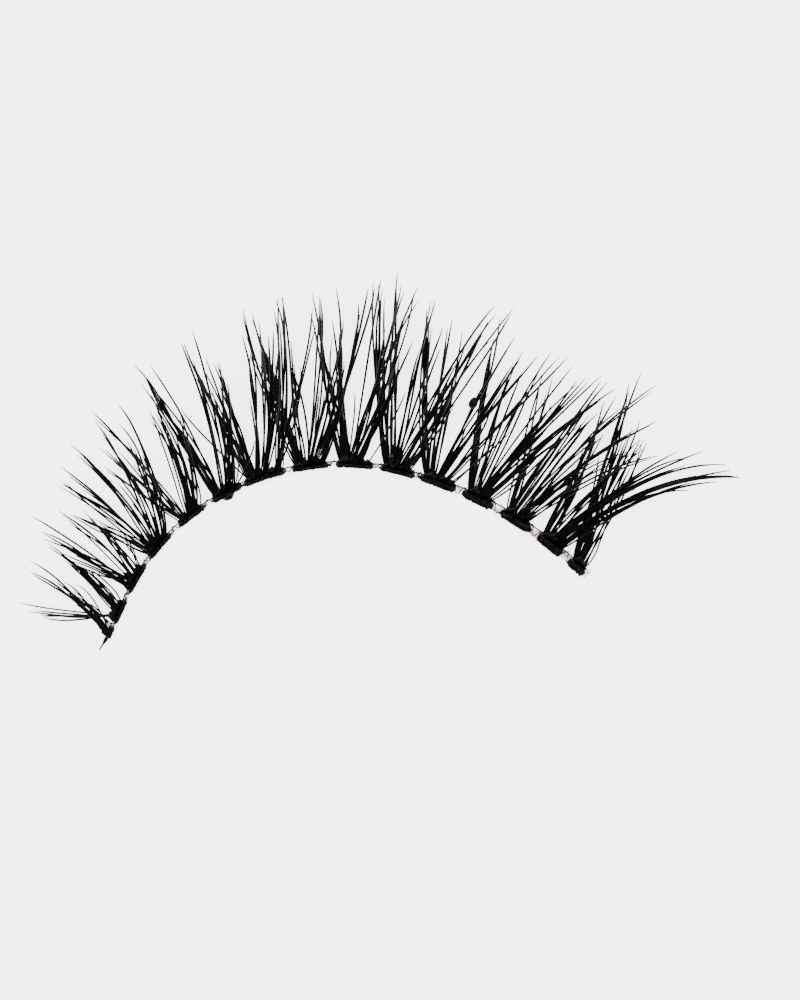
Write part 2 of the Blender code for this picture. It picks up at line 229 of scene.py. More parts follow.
# %% The middle and the bead's cluster: the longest lashes
PLAN += [
    Cluster(0.525, 0.585, 1.3, 0.7, (
        Wisp(0.1, -8, 0.82, 6), Wisp(0.2, -4, 0.86, 5), Wisp(0.3, -9, 0.56, 5),
        Wisp(0.4, 15, 1.10, 8), Wisp(0.6, 17, 0.65, 4), Wisp(0.9, 19, 0.38, 2),
    ), (
        Wisp(0.1, -10, 0.69, 2), Wisp(0.2, -2, 0.45, 3), Wisp(0.3, 4, 0.32, 2),
        Wisp(0.4, 11, 1.02, 4), Wisp(0.4, 5, 0.99, 2), Wisp(0.6, 16, 0.50, 3),
        Wisp(0.6, 18, 0.44, 3),
    )),
    Cluster(0.600, 0.655, 1.3, 0.7, (
        Wisp(0.1, -13, 0.88, 5), Wisp(0.2, -10, 0.57, 5), Wisp(0.3, -10, 0.98, 6),
        Wisp(0.4, -2, 0.84, 4), Wisp(0.5, 12, 1.03, 7), Wisp(0.7, 13, 1.10, 7),
        Wisp(0.9, 16, 0.36, 2),
    ), (
        Wisp(0.1, -15, 0.89, 3), Wisp(0.1, -12, 0.85, 3), Wisp(0.4, 4, 0.71, 3),
        Wisp(0.7, 14, 0.40, 3),
    )),
    Cluster(0.670, 0.727, 1.3, 0.7, (
        Wisp(0.1, -17, 0.82, 5), Wisp(0.2, -11, 0.75, 4), Wisp(0.3, -8, 0.70, 4),
        Wisp(0.4, 5, 0.79, 3), Wisp(0.5, 13, 0.78, 6), Wisp(0.7, 16, 0.90, 4),
        Wisp(0.9, 21, 0.36, 3),
    ), (
        Wisp(0.1, -18, 0.77, 4), Wisp(0.3, -7, 0.65, 3), Wisp(0.4, 8, 0.46, 3),
        Wisp(0.4, 10, 0.76, 4),
    )),
    Cluster(0.748, 0.794, 1.1, 0.9, (
        Wisp(0.1, -17, 0.84, 6), Wisp(0.3, -11, 0.60, 5), Wisp(0.4, -3, 0.78, 4),
        Wisp(0.5, 13, 0.76, 6), Wisp(0.7, 16, 0.84, 5), Wisp(0.9, 18, 0.56, 5),
    ), (
        Wisp(0.1, -17, 0.63, 4), Wisp(0.3, -6, 0.58, 2), Wisp(0.4, 6, 0.77, 2),
        Wisp(0.5, 10, 0.76, 5), Wisp(0.5, 9, 0.53, 4), Wisp(0.6, 12, 0.84, 2),
    )),
]
print("clusters planned:", len(PLAN))

# %% The outer corner: locks that sweep over to the side
PLAN += [
    Cluster(0.820, 0.869, 0.8, 1.3, (
        Wisp(0.1, -18, 0.64, 5), Wisp(0.2, -1, 0.76, 5), Wisp(0.5, 7, 0.90, 6),
        Wisp(0.6, 13, 0.80, 6), Wisp(0.8, 15, 0.58, 5),
    ), (
        Wisp(0.1, -15, 0.65, 3), Wisp(0.2, 1, 0.77, 3), Wisp(0.6, 15, 0.44, 4),
        Wisp(0.8, 21, 0.69, 3), Wisp(0.5, 6, 0.96, 2), Wisp(0.4, 2, 0.60, 4),
    )),
    Cluster(0.894, 0.939, 0.5, 1.8, (
        Wisp(0.1, -15, 0.72, 7), Wisp(0.2, -12, 0.53, 5), Wisp(0.3, 2, 0.60, 5),
        Wisp(0.5, 11, 0.84, 6), Wisp(0.7, 15, 0.92, 7), Wisp(0.9, 16, 0.94, 7),
    ), (
        Wisp(0.1, -13, 0.60, 4), Wisp(0.6, 14, 0.78, 3), Wisp(0.5, 13, 0.70, 3),
        Wisp(0.3, -1, 0.61, 2), Wisp(0.9, 18, 0.96, 3), Wisp(0.6, 8, 0.70, 3),
    )),
    Cluster(0.962, 0.990, 0.9, 1.1, (
        Wisp(0.2, -27, 0.88, 7), Wisp(0.5, -23, 0.70, 7), Wisp(0.8, -19, 0.62, 8),
    ), (
        Wisp(0.2, -31, 0.47, 2), Wisp(0.2, -27, 0.95, 1), Wisp(0.4, -25, 0.60, 5),
    )),
]
print("clusters planned:", len(PLAN))

# %% [markdown]
# ## How a wisp runs
#
# A synthetic lash is set in a curl by heat: it climbs slowly near the band and ever more steeply
# towards its tip. The path is walked in small steps with the same climb and slant as the frame's
# locks, so that each bundle of fibres lies where its solid lock is.

# %% Path of one wisp
LASH_LENGTH = 14.2 * MM
LOCK_WIDTH = 0.42 * MM
LOCK_THICKNESS = 0.17 * MM
CURL = math.radians(50)
CURL_POWER = 1.3
RISE = math.radians(4)
RISE_PER_FAN = 0.28
LAYER = 0.03 * MM
LAYER_FAN = 20
FOOT_IN = 0.50
FOOT_STAGGER = 0.30
ROOT_INSET = 0.04 * MM
STATIONS = 16
Station = namedtuple("Station", "point side top")


def foot_frame(cluster, wisp):
    inset = (ROOT_INSET + LOCK_WIDTH / 4) / BAND_LENGTH
    share = cluster.start + inset + (cluster.end - cluster.start - 2 * inset) * wisp.foot
    tier = max(-1.0, min(1.0, wisp.fan / LAYER_FAN))
    out = half_depth(share) * (2 * (FOOT_IN + FOOT_STAGGER * wisp.foot) - 1)
    return frame_at(share) @ Matrix.Translation((0, out, ROOT_HEIGHT + tier * LAYER))


def wisp_path(cluster, wisp):
    """Stations down the middle of a wisp: a point, the way across and the way up."""
    start = foot_frame(cluster, wisp)
    turn = start.to_3x3()
    fan = math.radians(wisp.fan)
    steps = STATIONS * 3
    point = Vector((0, 0, 0))
    path = []
    for step in range(steps + 1):
        share = step / steps
        slant = fan * (cluster.leave + (cluster.arrive - cluster.leave) * share)
        climb = RISE + RISE_PER_FAN * fan + CURL * (share * wisp.reach) ** CURL_POWER
        way = Vector((math.sin(slant), math.cos(slant), 0)) * math.cos(climb)
        way.z = math.sin(climb)
        if step % 3 == 0:
            side = way.cross(Vector((0, 0, 1))).normalized()
            path.append(Station(start @ point, turn @ side, turn @ side.cross(way)))
        point = point + way * LASH_LENGTH * wisp.reach / steps
    return path


# %% [markdown]
# ## Single fibres
#
# Real lash fibre is a round black polyester thread of about a tenth of a millimetre, drawn to a
# point at its tip. Hair curves would render well but don't become a mesh, so each fibre is a thin
# tube with its own small errors: a shorter cut, a slight wave and a flick at the tip. Short wisps
# have finer fibres. The fibres of a wisp leave its foot close together, swell apart and cling to
# one tip, as real ones do by static.

# %% Tubes that share one mesh
FIBRE_SIDES = 6
FIBRE_RADIUS = 0.058 * MM
FIBRE_PITCH = 0.17 * MM
FIBRE_SHARE = 0.73
FINE_BELOW = 0.7
FINEST = 0.62
Size = namedtuple("Size", "share size")
FIBRE_TAPERS = (
    Size(0.0, 0.9),
    Size(0.2, 1.0),
    Size(0.6, 1.08),
    Size(0.85, 0.98),
    Size(1.0, 0.35),
)
SPREADS = (
    Size(0.0, 0.35),
    Size(0.08, 0.85),
    Size(0.22, 1.15),
    Size(0.45, 1.10),
    Size(0.7, 0.82),
    Size(0.9, 0.34),
    Size(1.0, 0.08),
)


def angles(sides):
    return [2 * math.pi * corner / sides for corner in range(sides)]


def put_in_scene(name, mesh, finish):
    mesh.materials.append(finish)
    mesh.shade_smooth()
    made = bpy.data.objects.new(name, mesh)
    bpy.context.scene.collection.objects.link(made)
    return made


class Strands:
    """Collects round tubes in one mesh, with how far along and which strand each point is."""

    def __init__(self, sides):
        self.sides = sides
        self.points = []
        self.faces = []
        self.along = []
        self.tint = []

    def add(self, path, radii, tint):
        """path is a list of (point, side, top), right-handed, and radii has one value for each."""
        first = len(self.points)
        for step, ((point, side, top), radius) in enumerate(zip(path, radii)):
            for angle in angles(self.sides):
                reach = side * math.cos(angle) + top * math.sin(angle)
                self.points.append(point + reach * radius)
                self.along.append(step / (len(path) - 1))
                self.tint.append(tint)
        for step in range(len(path) - 1):
            low = first + step * self.sides
            for corner in range(self.sides):
                after = (corner + 1) % self.sides
                self.faces.append((low + corner, low + after, low + self.sides + after,
                                   low + self.sides + corner))
        last = first + (len(path) - 1) * self.sides
        self.faces.append(tuple(range(first + self.sides - 1, first - 1, -1)))
        self.faces.append(tuple(range(last, last + self.sides)))

    def make(self, name, finish):
        mesh = bpy.data.meshes.new(name)
        mesh.from_pydata(self.points, [], self.faces)
        for label, values in (("along", self.along), ("tint", self.tint)):
            layer = mesh.attributes.new(label, "FLOAT", "POINT")
            layer.data.foreach_set("value", values)
        return put_in_scene(name, mesh, finish)


# %% One wisp as a bundle of fibres
FAN_ERROR = 0.5
CUT_MOST = 0.5
CUT_POWER = 1.1
LAYER_MOST = 0.4
WAVE = 0.06 * MM
WAVE_RANGE = (0.3, 1.0)
SWAY_BEND = 7
LIFT_BEND = 5
FLICK = 0.14 * MM
FLICK_POWER = 5
THICK_RANGE = (0.85, 1.12)


def grow_wisp(strands, cluster, wisp, dice):
    """Fibres leave a wisp's foot close together, swell apart, cross and cling to one tip."""
    count = max(1, round(wisp.fibres * FIBRE_SHARE))
    places = [(number - (count - 1) / 2) * FIBRE_PITCH for number in range(count)]
    ends = dice.sample(places, count)
    fine = FINEST + (1 - FINEST) * min(1.0, wisp.reach / FINE_BELOW)
    for number, (place, end) in enumerate(zip(places, ends)):
        short = dice.random() ** CUT_POWER * CUT_MOST if number else 0.0
        fan = wisp.fan + dice.gauss(0, FAN_ERROR)
        own = wisp._replace(fan=fan, reach=wisp.reach * (1 - short))
        layer = dice.uniform(-LAYER_MOST, LAYER_MOST) * LOCK_THICKNESS
        wave = dice.uniform(*WAVE_RANGE) * WAVE
        phase = dice.uniform(0, 2 * math.pi)
        flick = dice.gauss(0, FLICK) * wisp.reach
        thick = FIBRE_RADIUS * fine * dice.uniform(*THICK_RANGE)
        path = []
        radii = []
        for step, station in enumerate(wisp_path(cluster, own)):
            share = step / STATIONS
            gather = between(SPREADS, share)
            across = (place + (end - place) * share) * gather
            sway = wave * share * math.sin(phase + share * SWAY_BEND)
            sway += flick * share ** FLICK_POWER
            lift = wave * share * math.cos(phase * 2 + share * LIFT_BEND) + layer * gather
            moved = station.side * (across + sway) + station.top * lift
            path.append((station.point + moved, -station.side, station.top))
            radii.append(thick * between(FIBRE_TAPERS, share))
        strands.add(path, radii, dice.random())


# %% [markdown]
# ## Shared shader effects
#
# Two effects come back in several finishes, so each is a node group. Mottle is cloudy change
# over a surface, for glue, thread, film and floor. Streak is fine lines along a strand, read from
# the value that every tube carries from its root to its tip.

# %% Mottle and streak groups
def new_group(name, inputs, outputs):
    group = bpy.data.node_groups.new(name, "ShaderNodeTree")
    for label, kind, value in inputs:
        socket = group.interface.new_socket(label, in_out="INPUT", socket_type=kind)
        socket.default_value = value
    for label, kind in outputs:
        group.interface.new_socket(label, in_out="OUTPUT", socket_type=kind)
    return group, group.nodes.new("NodeGroupInput"), group.nodes.new("NodeGroupOutput")


def mix_colors(tree, factor, dark, light):
    mix = tree.nodes.new("ShaderNodeMix")
    mix.data_type = "RGBA"
    tree.links.new(factor, mix.inputs["Factor"])
    tree.links.new(dark, mix.inputs["A"])
    tree.links.new(light, mix.inputs["B"])
    return mix.outputs["Result"]


def make_mottle():
    tree, given, out = new_group("mottle", (
        ("Grain", "NodeSocketFloat", 3000.0),
        ("Dark", "NodeSocketColor", (0, 0, 0, 1)),
        ("Light", "NodeSocketColor", (1, 1, 1, 1)),
        ("Low", "NodeSocketFloat", 0.3),
        ("High", "NodeSocketFloat", 0.6),
        ("Start", "NodeSocketFloat", 0.35),
        ("Stop", "NodeSocketFloat", 0.65),
    ), (("Color", "NodeSocketColor"), ("Value", "NodeSocketFloat"), ("Height", "NodeSocketFloat")))
    place = tree.nodes.new("ShaderNodeTexCoord")
    cloud = tree.nodes.new("ShaderNodeTexNoise")
    cloud.inputs["Detail"].default_value = 5
    tree.links.new(place.outputs["Object"], cloud.inputs["Vector"])
    tree.links.new(given.outputs["Grain"], cloud.inputs["Scale"])
    spread = tree.nodes.new("ShaderNodeMapRange")
    tree.links.new(given.outputs["Start"], spread.inputs["From Min"])
    tree.links.new(given.outputs["Stop"], spread.inputs["From Max"])
    tree.links.new(cloud.outputs["Fac"], spread.inputs["Value"])
    level = tree.nodes.new("ShaderNodeMapRange")
    tree.links.new(spread.outputs["Result"], level.inputs["Value"])
    tree.links.new(given.outputs["Low"], level.inputs["To Min"])
    tree.links.new(given.outputs["High"], level.inputs["To Max"])
    color = mix_colors(
        tree, spread.outputs["Result"], given.outputs["Dark"], given.outputs["Light"]
    )
    tree.links.new(color, out.inputs["Color"])
    tree.links.new(level.outputs["Result"], out.inputs["Value"])
    tree.links.new(cloud.outputs["Fac"], out.inputs["Height"])
    return tree


STRANDS_APART = 37.0


def make_streak():
    tree, given, out = new_group("streak", (
        ("Along", "NodeSocketFloat", 0.0),
        ("Strand", "NodeSocketFloat", 0.0),
        ("Turns", "NodeSocketFloat", 40.0),
        ("Root", "NodeSocketColor", (0, 0, 0, 1)),
        ("Tip", "NodeSocketColor", (1, 1, 1, 1)),
    ), (("Color", "NodeSocketColor"), ("Value", "NodeSocketFloat"), ("Height", "NodeSocketFloat")))
    place = tree.nodes.new("ShaderNodeCombineXYZ")
    run = tree.nodes.new("ShaderNodeMath")
    run.operation = "MULTIPLY"
    tree.links.new(given.outputs["Along"], run.inputs[0])
    tree.links.new(given.outputs["Turns"], run.inputs[1])
    strand = tree.nodes.new("ShaderNodeMath")
    strand.operation = "MULTIPLY"
    strand.inputs[1].default_value = STRANDS_APART
    tree.links.new(given.outputs["Strand"], strand.inputs[0])
    tree.links.new(run.outputs["Value"], place.inputs["X"])
    tree.links.new(strand.outputs["Value"], place.inputs["Y"])
    lines = tree.nodes.new("ShaderNodeTexNoise")
    lines.inputs["Scale"].default_value = 1.0
    lines.inputs["Detail"].default_value = 3
    tree.links.new(place.outputs["Vector"], lines.inputs["Vector"])
    own = tree.nodes.new("ShaderNodeMath")
    own.operation = "MULTIPLY"
    tree.links.new(lines.outputs["Fac"], own.inputs[0])
    tree.links.new(given.outputs["Strand"], own.inputs[1])
    color = mix_colors(tree, own.outputs["Value"], given.outputs["Root"], given.outputs["Tip"])
    tree.links.new(color, out.inputs["Color"])
    tree.links.new(own.outputs["Value"], out.inputs["Value"])
    tree.links.new(lines.outputs["Fac"], out.inputs["Height"])
    return tree


MOTTLE = make_mottle()
STREAK = make_streak()
print("groups:", MOTTLE.name, STREAK.name)

# %% [markdown]
# ## The finishes
#
# Lash fibre is jet black with a faint satin gloss, thread is a little browner and rougher, glue
# is dark and smooth, and the film is clear with a warm tint. What varies over a surface comes
# from the groups, and what is the same all over stays on the shader's own sockets.

# %% Helpers for finishes
def new_finish(name, **sockets):
    finish = bpy.data.materials.new(name)
    finish.use_nodes = True
    shader = finish.node_tree.nodes["Principled BSDF"]
    for label, value in sockets.items():
        shader.inputs[label.replace("_", " ")].default_value = value
    return finish, finish.node_tree, shader


def place_group(tree, group, **values):
    node = tree.nodes.new("ShaderNodeGroup")
    node.node_tree = group
    for label, value in values.items():
        node.inputs[label].default_value = value
    return node


def put_bump(tree, height, shader, strength, distance):
    bump = tree.nodes.new("ShaderNodeBump")
    bump.inputs["Strength"].default_value = strength
    bump.inputs["Distance"].default_value = distance
    tree.links.new(height, bump.inputs["Height"])
    tree.links.new(bump.outputs["Normal"], shader.inputs["Normal"])


def strand_streak(tree, turns, root, tip):
    node = place_group(tree, STREAK, Turns=turns, Root=root, Tip=tip)
    for label, socket in (("along", "Along"), ("tint", "Strand")):
        read = tree.nodes.new("ShaderNodeAttribute")
        read.attribute_name = label
        tree.links.new(read.outputs["Fac"], node.inputs[socket])
    return node


# %% Fibre, thread, glue and film
def fibre_finish():
    finish, tree, shader = new_finish("lash_fibre", Roughness=0.45, Specular_IOR_Level=0.07)
    streak = strand_streak(tree, 9.0, (0.0005, 0.0005, 0.0006, 1), (0.0030, 0.0026, 0.0028, 1))
    tree.links.new(streak.outputs["Color"], shader.inputs["Base Color"])
    put_bump(tree, streak.outputs["Height"], shader, 0.15, 0.01 * MM)
    return finish


def thread_finish():
    finish, tree, shader = new_finish("wound_thread", Roughness=0.55, Specular_IOR_Level=0.07)
    streak = strand_streak(tree, 160.0, (0.0006, 0.0005, 0.0005, 1), (0.0046, 0.0030, 0.0028, 1))
    cloud = place_group(tree, MOTTLE, Grain=5200.0, Low=0.35, High=0.7)
    tree.links.new(streak.outputs["Color"], shader.inputs["Base Color"])
    tree.links.new(cloud.outputs["Value"], shader.inputs["Roughness"])
    put_bump(tree, streak.outputs["Height"], shader, 0.5, 0.02 * MM)
    return finish


def glue_finish():
    finish, tree, shader = new_finish("dark_glue", Specular_IOR_Level=0.08,
                                      Coat_Weight=0.03, Coat_Roughness=0.15)
    cloud = place_group(tree, MOTTLE, Grain=2600.0, Low=0.22, High=0.5,
                        Dark=(0.0005, 0.0004, 0.0004, 1), Light=(0.0048, 0.0026, 0.0024, 1))
    tree.links.new(cloud.outputs["Color"], shader.inputs["Base Color"])
    tree.links.new(cloud.outputs["Value"], shader.inputs["Roughness"])
    put_bump(tree, cloud.outputs["Height"], shader, 0.6, 0.03 * MM)
    return finish


def film_finish():
    finish, tree, shader = new_finish("cast_film", Transmission_Weight=1.0, IOR=1.45)
    cloud = place_group(tree, MOTTLE, Grain=2600.0, Low=0.30, High=0.06, Start=0.40, Stop=0.56,
                        Dark=(0.10, 0.055, 0.055, 1), Light=(0.88, 0.76, 0.80, 1))
    tree.links.new(cloud.outputs["Color"], shader.inputs["Base Color"])
    tree.links.new(cloud.outputs["Value"], shader.inputs["Roughness"])
    put_bump(tree, cloud.outputs["Height"], shader, 0.3, 0.02 * MM)
    return finish


FIBRE = fibre_finish()
THREAD = thread_finish()
GLUE = glue_finish()
FILM = film_finish()
print("finishes:", [finish.name for finish in (FIBRE, THREAD, GLUE, FILM)])


# %% Place a piece on the strip
def settle(piece, slot, *nodes):
    """Let a piece move with the strip and stand for its nodes. The slot is not used."""
    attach(piece, "root")
    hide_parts(*nodes)
    return piece


# %% [markdown]
# ## Grow the clusters
#
# One mesh for each cluster keeps the pieces as they are on the strip, and the dice are seeded by
# the cluster's number, so every run grows the same lashes.

# %% Fifteen clusters of fibres
FIBRE_SEED = 100
strand_count = 0
for number, cluster in enumerate(PLAN, start=1):
    dice = random.Random(FIBRE_SEED + number)
    strands = Strands(FIBRE_SIDES)
    for wisp in cluster.locks + cluster.wisps:
        grow_wisp(strands, cluster, wisp, dice)
    fibres = strands.make(f"lash_fibres_{number:02d}", FIBRE)
    settle(fibres, "black_fibre", f"lash_cluster_{number:02d}")
    strand_count += len(strands.points) // (FIBRE_SIDES * (STATIONS + 1))
print("fibres:", strand_count)

# %% [markdown]
# ## Thread wound round the band
#
# The clusters are tied on with black thread, turn beside turn, and the turns are set in glue.
# A helix on the outline of the frame's sleeve gives the turns. Small seeded errors in their depth,
# place and thickness keep them from looking like a screw, and the last turns sink to the film.

# %% Outline of a wrap
THREAD_RADIUS = 0.036 * MM
THREAD_SIDES = 5
WRAP_ROUNDING = 0.625


def rounded_box(angle, rounding):
    """How far out and up the outline of a rounded box is, with half sizes of 1."""
    out = math.copysign(abs(math.cos(angle)) ** rounding, math.cos(angle))
    up = math.copysign(abs(math.sin(angle)) ** rounding, math.sin(angle))
    return out, up


def on_outline(share, angle, inset):
    """A point on the outline of a wrap, at an angle round the band and some way inside."""
    out, up = rounded_box(angle, WRAP_ROUNDING)
    out *= half_depth(share) + WRAP_GAP / 2 - inset
    up *= WRAP_HEIGHT / 2 - inset
    return frame_at(share) @ Vector((0, out - WRAP_GAP / 2, WRAP_HEIGHT / 2 + up))


def tube_frames(points):
    """Give each point of a line the two ways across it."""
    path = []
    side = None
    for step, point in enumerate(points):
        ahead = points[min(step + 1, len(points) - 1)]
        behind = points[max(step - 1, 0)]
        way = (ahead - behind).normalized()
        if side is None:
            side = way.orthogonal().normalized()
        side = (side - way * side.dot(way)).normalized()
        path.append((point, side, way.cross(side)))
    return path


# %% Wind the thread
THREAD_SEED = 200
THREAD_PITCH = THREAD_RADIUS * 2.1
TURN_STEPS = 18
ROUGH_GRAIN = 320
ROUGH_TWIST = 0.35
ROUGH_SINK = 0.09 * MM
ROUGH_SWELL = 0.3
SLIP = 0.0022
SLIP_GRAIN = 500
SLIP_SEED = 20
END_LENGTH = 0.30 * MM
END_DROP = 0.09 * MM
END_POWER = 1.5


def end_slope(cluster, share):
    """How far the turns near an end of a wrap lie inside its outline."""
    away = min(share - cluster.start, cluster.end - share) * BAND_LENGTH
    return END_DROP * max(0.0, 1 - away / END_LENGTH) ** END_POWER


def wind(number, cluster, dice):
    length = (cluster.end - cluster.start) * BAND_LENGTH
    turns = int(length / THREAD_PITCH)
    points = []
    radii = []
    for step in range(turns * TURN_STEPS + 1):
        angle = 2 * math.pi * step / TURN_STEPS
        share = cluster.start + (cluster.end - cluster.start) * step / (turns * TURN_STEPS)
        rough = noise.noise(Vector((share * ROUGH_GRAIN, angle * ROUGH_TWIST, number)))
        spot = Vector((share * SLIP_GRAIN, math.cos(angle), number + SLIP_SEED))
        slipped = share + SLIP * noise.noise(spot)
        inset = THREAD_RADIUS + ROUGH_SINK * max(0.0, rough) + end_slope(cluster, share)
        radii.append(THREAD_RADIUS * (1 + ROUGH_SWELL * rough))
        points.append(on_outline(min(max(slipped, cluster.start), cluster.end), angle, inset))
    strands = Strands(THREAD_SIDES)
    strands.add(tube_frames(points), radii, dice.random())
    return strands


for number, cluster in enumerate(PLAN, start=1):
    strands = wind(number, cluster, random.Random(THREAD_SEED + number))
    thread = strands.make(f"wound_thread_{number:02d}", THREAD)
    settle(thread, "black_thread", f"thread_wrap_{number:02d}")
print("wraps wound:", len(PLAN))

# %% [markdown]
# ## Glue between the turns
#
# The glue was brushed on and dried in lumps, so its skin is a sleeve just under the thread's
# outline that noise lifts over some turns and sinks under others. Towards its ends it thins out
# onto the film, as a drop that wets a surface does.

# %% Glue sleeve
GLUE_SEED = 300
GLUE_STATIONS = 30
GLUE_SIDES = 28
GLUE_DEPTH = 0.04 * MM
GLUE_LEAST = 0.004 * MM
GLUE_LUMPS = 0.10 * MM
GLUE_GRAIN = 260
GLUE_GRAIN_ROUND = 1.4
GLUE_EDGE = 0.13 * MM
GLUE_EDGE_POWER = 0.6
GLUE_CREEP = (0.04 * MM, 0.26 * MM)
BAND_MARGIN = 0.0005


def glue_sleeve(number, cluster, dice):
    """The skin of glue round a wrap, which runs out unevenly onto the film at both ends."""
    body = bmesh.new()
    before, after = (dice.uniform(*GLUE_CREEP) / BAND_LENGTH for end in range(2))
    low_share = max(cluster.start - before, BAND_MARGIN)
    high_share = min(cluster.end + after, 1 - BAND_MARGIN)
    rings = []
    for station in range(GLUE_STATIONS + 1):
        part = station / GLUE_STATIONS
        share = low_share + (high_share - low_share) * part
        off = max(cluster.start - share, share - cluster.end, 0.0) * BAND_LENGTH
        edge = GLUE_EDGE * min(off / GLUE_EDGE, 1) ** GLUE_EDGE_POWER
        ring = []
        for angle in angles(GLUE_SIDES):
            out, up = math.cos(angle) * GLUE_GRAIN_ROUND, math.sin(angle) * GLUE_GRAIN_ROUND
            lump = GLUE_LUMPS * noise.noise(Vector((share * GLUE_GRAIN, out, up + number)))
            inset = max(GLUE_DEPTH + lump + edge, GLUE_LEAST)
            ring.append(body.verts.new(on_outline(share, angle, inset)))
        rings.append(ring)
    skin(body, rings)
    return mesh_piece(f"glue_sleeve_{number:02d}", body, GLUE)


def skin(body, rings):
    """Join rings of points into one closed skin."""
    for low, high in zip(rings, rings[1:]):
        for corner in range(len(low)):
            after = (corner + 1) % len(low)
            body.faces.new((low[corner], low[after], high[after], high[corner]))
    body.faces.new(list(reversed(rings[0])))
    body.faces.new(rings[-1])


def mesh_piece(name, body, finish):
    bmesh.ops.recalc_face_normals(body, faces=body.faces)
    mesh = bpy.data.meshes.new(name)
    body.to_mesh(mesh)
    body.free()
    return put_in_scene(name, mesh, finish)


for number, cluster in enumerate(PLAN, start=1):
    sleeve = glue_sleeve(number, cluster, random.Random(GLUE_SEED + number))
    settle(sleeve, "black_thread", f"thread_wrap_{number:02d}")
print("glue sleeves:", len(PLAN))

# %% [markdown]
# ## Glue between the roots
#
# Under the thread the roots of a cluster are stuck together, and the glue creeps out between
# them for about half a millimetre before it stops in small points. That dark web is what makes
# a root look solid, and it is a thin wedge whose front edge follows a seeded noise.

# %% Root web
WEB_STATIONS = 40
WEB_SIDES = 14
WEB_REACH = 0.62 * MM
WEB_LOBE = 0.22 * MM
WEB_BACK = 0.06 * MM
WEB_THICKNESS = 0.10 * MM
WEB_CLIMB = 0.16
WEB_MARGIN = 0.02
WEB_LEAST = 0.15
WEB_EDGE = 0.12
WEB_SEED_STEP = 3.1
LOBE_RANGE = (0.1, 1.0)
LOBE_MIDDLE = 0.5
LOBE_SWING = 0.9
WEB_ROUNDING = 0.7


def root_web(number, cluster):
    body = bmesh.new()
    rings = []
    for station in range(WEB_STATIONS + 1):
        part = station / WEB_STATIONS
        inner = WEB_MARGIN + (1 - 2 * WEB_MARGIN) * part
        share = cluster.start + (cluster.end - cluster.start) * inner
        spot = Vector((share * BAND_LENGTH / WEB_LOBE, number * WEB_SEED_STEP, 0))
        lobe = LOBE_MIDDLE + LOBE_SWING * noise.noise(spot)
        lobe = max(LOBE_RANGE[0], min(LOBE_RANGE[1], lobe))
        reach = WEB_REACH * (WEB_LEAST + math.sin(math.pi * part) ** WEB_ROUNDING * lobe)
        ring = []
        for angle in angles(WEB_SIDES):
            ahead = 0.5 + 0.5 * math.cos(angle)
            out = (reach + WEB_BACK) * ahead - WEB_BACK
            thick = WEB_THICKNESS * (WEB_EDGE + (1 - WEB_EDGE) * (1 - ahead) ** 0.5)
            up = ROOT_HEIGHT + out * WEB_CLIMB + thick * math.sin(angle)
            ring.append(body.verts.new(frame_at(share) @ Vector((0, half_depth(share) + out, up))))
        rings.append(ring)
    skin(body, rings)
    return mesh_piece(f"root_web_{number:02d}", body, GLUE)


for number, cluster in enumerate(PLAN, start=1):
    settle(root_web(number, cluster), "black_fibre", f"lash_cluster_{number:02d}")
print("root webs:", len(PLAN))

# %% [markdown]
# ## The lump, the bead and the loose end
#
# Three small accidents make this strip itself: a lump of glue at the sixth wrap, a bead that ran
# out along one lash of the eleventh cluster, and a loose end of thread at the inner corner.
# They are drops and a strand, so a noisy sphere and a tapering tube serve.

# %% Drops of glue
LUMP_OUT = 0.03 * MM
LUMP_TURN = math.radians(17)
LUMP_SIZE = Vector((0.86, 0.76, 0.68)) * MM
BEAD_SIZE = Vector((0.82, 0.54, 0.52)) * MM
BEAD_PLACE = 0.48
BEAD_ASIDE = 0.16 * MM
BUMP_GRAIN = 3.5
FINE_GRAIN = 11
FINE_BUMPS = 0.2


def drop(name, place, way, size, roughness, seed):
    body = bmesh.new()
    bmesh.ops.create_icosphere(body, subdivisions=5, radius=0.5)
    for vert in body.verts:
        bump = noise.noise(vert.co * BUMP_GRAIN + Vector((seed, 0, 0)))
        fine = noise.noise(vert.co * FINE_GRAIN + Vector((0, seed, 0)))
        vert.co = vert.co * (1 - roughness * (0.5 - 0.5 * bump + FINE_BUMPS * abs(fine)))
    turn = way.to_track_quat("X", "Z").to_matrix().to_4x4()
    matrix = Matrix.Translation(place) @ turn @ Matrix.Diagonal((*size, 1))
    bmesh.ops.transform(body, matrix=matrix, verts=body.verts)
    return mesh_piece(name, body, GLUE)


lump_cluster = PLAN[5]
lump_share = (lump_cluster.start + lump_cluster.end) / 2
lump_frame = frame_at(lump_share)
lump_point = lump_frame @ Vector((0, -half_depth(lump_share) - LUMP_OUT, WRAP_HEIGHT / 2))
lump_way = lump_frame.to_3x3() @ Vector((math.cos(LUMP_TURN), math.sin(LUMP_TURN), 0))
lump = drop("glue_lump", lump_point, lump_way, LUMP_SIZE, 0.22, 4)
settle(lump, "black_thread", "thread_wrap_06")

bead_path = wisp_path(PLAN[10], PLAN[10].locks[3])
bead_station = int(BEAD_PLACE * STATIONS)
bead_low, bead_high = bead_path[bead_station:bead_station + 2]
bead_point = bead_low.point.lerp(bead_high.point, BEAD_PLACE * STATIONS % 1)
bead_point -= bead_low.side * BEAD_ASIDE
bead = drop("glue_bead", bead_point, bead_high.point - bead_low.point, BEAD_SIZE, 0.12, 9)
settle(bead, "black_fibre", "lash_cluster_11")
print("bead at", [round(c / MM, 2) for c in bead_point])

